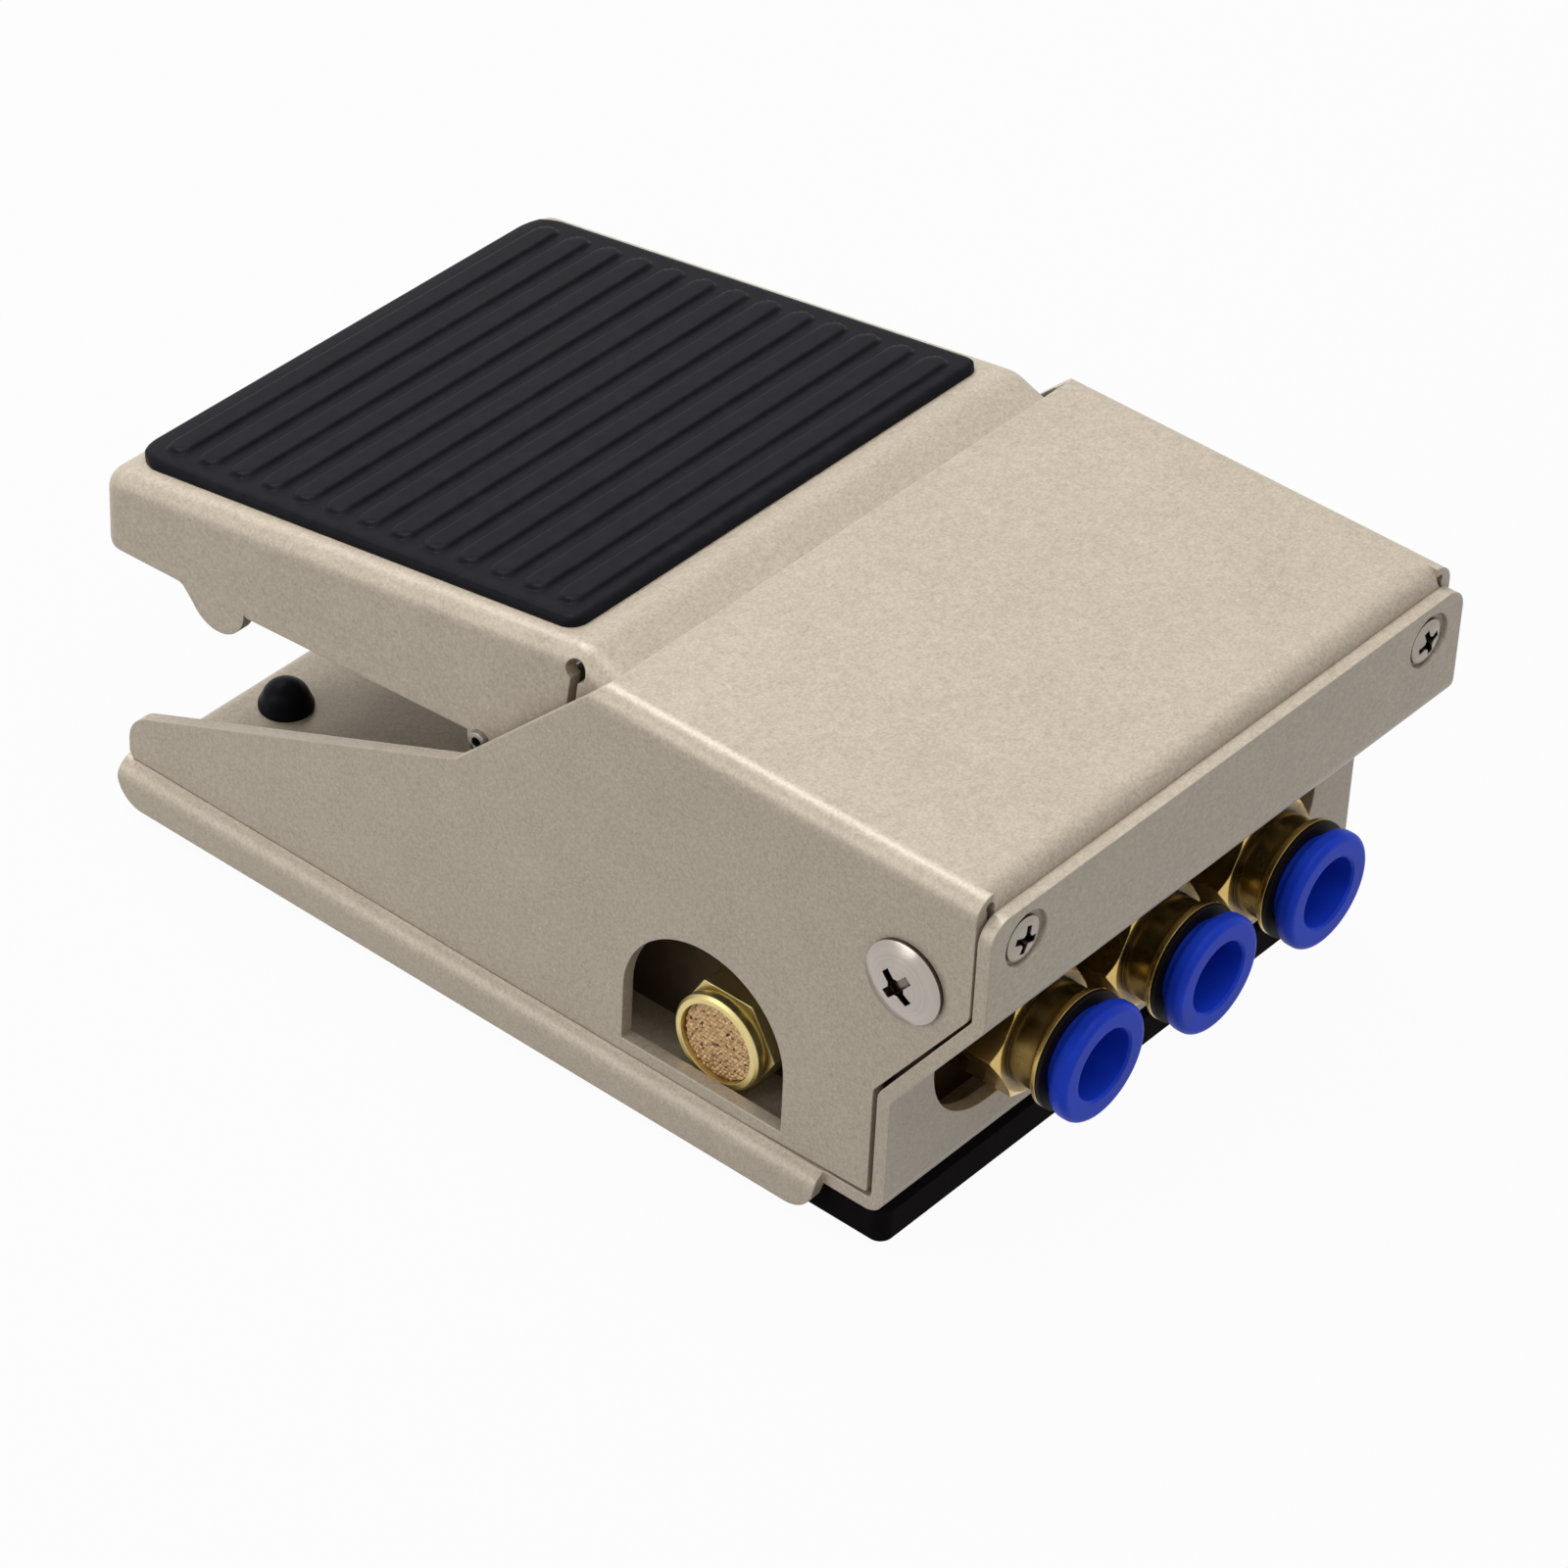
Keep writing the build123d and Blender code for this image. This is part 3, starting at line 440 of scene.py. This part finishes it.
# Ribbed rubber pad, a grid laid on the pedal's front plate
padSet = {
    "crest": (0.0, 3.0 * mm, 62.9 * mm),        # where the front plate meets the cross bend
    "slope": 9.1,
    "half": 40.3 * mm,
    "near": -3.7 * mm, "far": -83.7 * mm,       # along the plate from the crest
    "nearCorner": 2.5 * mm, "farCorner": 5.0 * mm,
    "thick": 1.4 * mm,
    "edgeShare": 0.3,                           # of the thickness, where the round edge starts
    "edgeRound": 0.9 * mm,
    "edgeSteps": (0.0, 0.04, 0.12, 0.25, 0.45, 0.7, 1.0),       # of that round, from the edge inwards
    "ribCount": 13, "ribFirst": -78.4 * mm, "ribPitch": 5.85 * mm,
    "ribLine": 35.5 * mm, "ribHalf": 2.1 * mm, "ribHeight": 0.55 * mm, "ribRound": 0.42 * mm,
    "wallLean": 0.25 * mm,
    # mm from a rib's middle
    "steps": (0.0, 0.8, 1.3, 1.45, 1.58, 1.7, 1.8, 1.87, 1.92, 1.95, 2.02, 2.1, 2.2, 2.5),
    "between": 8,                               # steps along half a rib
}


# Positions across the pad: close together round the ribs' ends and at both edges
def padColumns():
    look = padSet
    right = [look["ribLine"] * number / look["between"] for number in range(1, look["between"])]
    right += [look["ribLine"] + step * mm for step in look["steps"]]
    right += [look["half"] - look["edgeRound"] * share for share in (1.6, *reversed(look["edgeSteps"]))]
    return [-place for place in reversed(right)] + [0.0] + right


# Positions along the pad: close together round every rib's walls and at both edges
def padRows():
    look = padSet
    rows = []
    for number in range(look["ribCount"]):
        line = look["ribFirst"] + number * look["ribPitch"]
        rows += [line - step * mm for step in look["steps"]] + [line + step * mm for step in look["steps"]]
    for edge, inward in ((look["far"], 1), (look["near"], -1)):
        rows += [edge + inward * look["edgeRound"] * share for share in look["edgeSteps"]]
    kept = [row for row in rows if look["far"] <= row <= look["near"]]
    return sorted({round(row, 6) for row in kept})


# Height over the plate at a place on the pad
def padHeight(across, along, inset):
    look = padSet
    rim = min(max(inset, 0.0) / look["edgeRound"], 1.0)
    height = look["thick"] * (look["edgeShare"] + (1 - look["edgeShare"]) * math.sqrt(1 - (1 - rim) ** 2))
    number = min(max(round((along - look["ribFirst"]) / look["ribPitch"]), 0), look["ribCount"] - 1)
    past = max(abs(across) - look["ribLine"], 0.0)
    away = math.hypot(past, along - look["ribFirst"] - number * look["ribPitch"])
    shoulder = look["ribHalf"] - look["wallLean"]
    flat = shoulder - look["ribRound"]
    if away <= flat:
        return height + look["ribHeight"]
    if away <= shoulder:
        drop = look["ribRound"] - math.sqrt(look["ribRound"] ** 2 - (away - flat) ** 2)
        return height + look["ribHeight"] - drop
    if away < look["ribHalf"]:
        return height + (look["ribHeight"] - look["ribRound"]) * (look["ribHalf"] - away) / look["wallLean"]
    return height


# Where a point of the square grid lies on the pad, whose corners are round
def padPlace(across, along):
    look = padSet
    middle, halfLength = (look["near"] + look["far"]) / 2, (look["near"] - look["far"]) / 2
    corner = look["nearCorner"] if along > middle else look["farCorner"]
    beyond = (abs(across) - look["half"] + corner, abs(along - middle) - halfLength + corner)
    if min(beyond) <= 0:
        return across, along
    u, v = beyond[0] / corner, beyond[1] / corner
    drawnAcross = look["half"] - corner * (1 - u * math.sqrt(1 - v * v / 2))
    drawnAlong = halfLength - corner * (1 - v * math.sqrt(1 - u * u / 2))
    return math.copysign(drawnAcross, across), middle + math.copysign(drawnAlong, along - middle)


def ribbedPad():
    look = padSet
    rows, columns = padRows(), padColumns()
    onPlate = Matrix.Translation(look["crest"]) @ Matrix.Rotation(math.radians(look["slope"]), 4, "X")
    points = []
    for along in rows:
        for across in columns:
            inset = min(look["half"] - abs(across), along - look["far"], look["near"] - along)
            place = padPlace(across, along)
            points.append(onPlate @ Vector((place[0], place[1], padHeight(place[0], place[1], inset))))
    rim = gridRim(len(rows), len(columns))
    faces = gridFaces(len(rows), len(columns)) + closingFaces(rim, len(points))
    up = onPlate.to_3x3() @ Vector((0, 0, 1))
    for number in rim:                  # down to the plate
        top = points[number]
        points.append(top - up * (up.dot(top - Vector(look["crest"]))))
    addPiece("ribbedPad", points, faces, padRubber, "pedal", "pedal_pad")


ribbedPad()
print("ribbed pad made")


# Coil springs with closed end turns: the return spring is left without a body, the spool's one rides on the casing
coilSet = {
    "stepsPerTurn": 36,
    "sides": 12,
    "closed": 0.9,                      # turns that are closed at each end
    "lead": 2.04,                       # wire radii that a closed turn rises
}
springSet = {
    "returnCoil": {"node": "return_spring", "between": ("casing", "pedal"), "at": (0.0, -13.0 * mm),
                   "mean": 6.6 * mm, "wire": 0.8 * mm, "turns": 5.6, "bottom": 9.65 * mm, "top": 34.95 * mm},
    "spoolCoil": {"node": "spool_spring", "joint": "plunger_slide", "at": (0.0, 29.1 * mm), "mean": 4.2 * mm,
                  "wire": 0.4 * mm, "turns": 5.5, "bottom": 9.55 * mm, "top": 19.95 * mm, "keep": 0.375},
}


def coilSpring(name, look):
    stepsPerTurn, sides, closed = coilSet["stepsPerTurn"], coilSet["sides"], coilSet["closed"]
    total = int(look["turns"] * stepsPerTurn)
    rise = look["top"] - look["bottom"] - 2 * look["wire"]
    flat = coilSet["lead"] * look["wire"] * closed
    points = []
    for step in range(total + 1):
        turn = step / stepsPerTurn
        if turn < closed:
            height = flat * turn / closed
        elif turn > look["turns"] - closed:
            height = rise - flat * (look["turns"] - turn) / closed
        else:
            share = (turn - closed) / (look["turns"] - 2 * closed)
            height = flat + (rise - 2 * flat) * share
        angle = 2 * math.pi * turn
        outward = Vector((math.cos(angle), math.sin(angle), 0))
        centre = Vector((look["at"][0], look["at"][1], look["bottom"] + look["wire"] + height))
        centre += outward * look["mean"]
        for side in range(sides):
            around = 2 * math.pi * side / sides
            towards = math.cos(around) * outward + math.sin(around) * Vector((0, 0, 1))
            points.append(centre + look["wire"] * towards)
    faces = []
    for step in range(total):
        for side in range(sides):
            after = (side + 1) % sides
            faces.append((step * sides + side, step * sides + after, (step + 1) * sides + after,
                          (step + 1) * sides + side))
    faces.append(tuple(range(sides)))
    faces.append(tuple(total * sides + side for side in reversed(range(sides))))
    if "between" in look:
        spring = addPiece(name, points, faces, steelAlongZ, None, look["node"])
        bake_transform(spring)
    else:
        spring = addPiece(name, points, faces, steelAlongZ, "casing", look["node"])
        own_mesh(spring)


for name, look in springSet.items():
    coilSpring(name, look)
print("springs made:", len(springSet))


# Porous discs of the silencers: a plate of small fused balls in the brass cup
grainSet = {
    "axis": (29.1 * mm, 15.1 * mm),     # Y and Z of the exhausts
    "radius": 5.7 * mm,
    "back": 40.6 * mm, "face": 44.75 * mm,
    "ball": 0.36 * mm,
    "pitch": 1.8,                       # in ball radii, as are jitter, raised and gap
    "rowPitch": 0.87,                   # of the pitch
    "jitter": 0.3,
    "raised": (-0.25, 0.1),
    "gap": -0.8,
    "step": 0.115 * mm,
    "rimFrom": 0.98,                    # of the radius: outside it the face drops by one ball
}


# Ball centres on a loose six-sided pattern, kept in cells of one ball so that the nearest are found quickly
def grainCentres(seed):
    look = grainSet
    draw = random.Random(seed)
    pitch = look["pitch"] * look["ball"]
    count = int(look["radius"] / pitch) + 2
    cells = {}
    for row in range(-count, count + 1):
        for column in range(-count, count + 1):
            across = pitch * (column + 0.5 * (row % 2)) + draw.uniform(-1, 1) * look["jitter"] * look["ball"]
            along = pitch * row * look["rowPitch"] + draw.uniform(-1, 1) * look["jitter"] * look["ball"]
            raised = draw.uniform(*look["raised"]) * look["ball"]
            key = (int(across // pitch), int(along // pitch))
            cells.setdefault(key, []).append((across, along, raised))
    return cells, pitch


# Height of the grain's surface at a place, from the balls in the cells round it
def grainHeight(cells, pitch, across, along):
    ball = grainSet["ball"]
    height = grainSet["gap"] * ball
    column, row = int(across // pitch), int(along // pitch)
    for near in [(column + dx, row + dy) for dx in (-1, 0, 1) for dy in (-1, 0, 1)]:
        for centre in cells.get(near, []):
            away = (across - centre[0]) ** 2 + (along - centre[1]) ** 2
            if away < ball * ball:
                height = max(height, math.sqrt(ball * ball - away) - ball + centre[2])
    return height


def porousDisc(side, direction, seed):
    look = grainSet
    cells, pitch = grainCentres(seed)
    count = int(look["radius"] / look["step"])
    points = []
    lines = [look["radius"] * number / count for number in range(-count, count + 1)]
    for along in lines:
        for across in lines:
            u, v = across / look["radius"], along / look["radius"]
            place = (across * math.sqrt(1 - v * v / 2), along * math.sqrt(1 - u * u / 2))
            out = look["face"] + grainHeight(cells, pitch, *place)
            if max(abs(u), abs(v)) > look["rimFrom"]:
                out -= look["ball"]
            points.append((direction * out, look["axis"][0] + direction * place[0], look["axis"][1] + place[1]))
    rim = gridRim(len(lines), len(lines))
    faces = gridFaces(len(lines), len(lines)) + closingFaces(rim, len(points))
    points += [(direction * look["back"], points[number][1], points[number][2]) for number in rim]
    addPiece("porousDisc" + side.capitalize(), points, faces, bronze, "casing", "silencer_element_" + side)


porousDisc("right", 1, 7)
porousDisc("left", -1, 11)
print("porous discs made")

# Camera at the photograph's viewing angle
cameraSet = {
    "place": (0.52172, 0.42215, 0.54226),
    "turn": (51.836, -2.250, 130.637),
    "lens": 146.9,
    "sensor": 36.0,
    "clip": (0.01, 20.0),
}
camera = bpy.data.objects.new("camera", bpy.data.cameras.new("camera"))
bpy.context.scene.collection.objects.link(camera)
camera.location = cameraSet["place"]
camera.rotation_euler = [math.radians(angle) for angle in cameraSet["turn"]]
camera.data.lens = cameraSet["lens"]
camera.data.sensor_width = cameraSet["sensor"]
camera.data.clip_start, camera.data.clip_end = cameraSet["clip"]
bpy.context.scene.camera = camera

# Soft light from four broad lamps: above, beyond the toe, over the ports and on the seen side
lampSet = {
    "above": {"place": (-0.05, 0.0, 1.2), "aim": (0, 0, 0.03), "size": 0.8, "power": 3.6},
    "toe": {"place": (-0.12, -0.6, 1.05), "aim": (0, 0, 0.03), "size": 0.5, "power": 7.6},
    "port": {"place": (0.1, 0.5, 1.1), "aim": (0, 0, 0.03), "size": 0.7, "power": 2.0},
    "side": {"place": (1.0, -0.5, 0.45), "aim": (0, 0, 0.03), "size": 0.7, "power": 4.0},
}
for name, lamp in lampSet.items():
    light = bpy.data.objects.new(name + "Light", bpy.data.lights.new(name + "Light", "AREA"))
    bpy.context.scene.collection.objects.link(light)
    light.data.size, light.data.energy = lamp["size"], lamp["power"]
    light.location = lamp["place"]
    light.rotation_euler = (Vector(lamp["aim"]) - Vector(lamp["place"])).to_track_quat("-Z", "Y").to_euler()

# Pale floor just under the mat
floorSet = {"half": 3.0, "level": -0.1 * mm, "colour": (0.4, 0.4, 0.4, 1.0), "seenWhite": 0.96}
floorMesh = bpy.data.meshes.new("floor")
half, level = floorSet["half"], floorSet["level"]
corners = [(-half, -half, level), (half, -half, level), (half, half, level), (-half, half, level)]
floorMesh.from_pydata(corners, [], [(0, 1, 2, 3)])
floor = bpy.data.objects.new("floor", floorMesh)
bpy.context.scene.collection.objects.link(floor)
pale = Finish(bpy.data.materials.new("paleFloor"))
paper = pale.node("ShaderNodeBsdfDiffuse", None, {"Color": floorSet["colour"]})
white = pale.node("ShaderNodeEmission", None, {"Color": (1, 1, 1, 1), "Strength": 1.0})
upper = pale.node("ShaderNodeMixShader", None, {0: pale.whiteRays() * floorSet["seenWhite"], 1: paper, 2: white})
behind = pale.node("ShaderNodeNewGeometry", output="Backfacing")
clear = pale.node("ShaderNodeBsdfTransparent", None, {"Color": (1, 1, 1, 1)})      # so the underside shows
floorMesh.materials.append(pale.finishWith(
    pale.node("ShaderNodeMixShader", None, {0: behind, 1: upper, 2: clear})))

worldSet = {"lit": (0.36, 0.36, 0.36, 1.0), "seen": (1.0, 1.0, 1.0, 1.0)}
world = bpy.data.worlds.new("studio")
bpy.context.scene.world = world
sky = Finish(world, "ShaderNodeOutputWorld")
skyColour = sky.blend(sky.whiteRays(), worldSet["lit"], worldSet["seen"])
sky.finishWith(sky.node("ShaderNodeBackground", None, {"Color": skyColour}))
bpy.context.scene.view_settings.view_transform = "Standard"
print("camera, lamps and floor set")
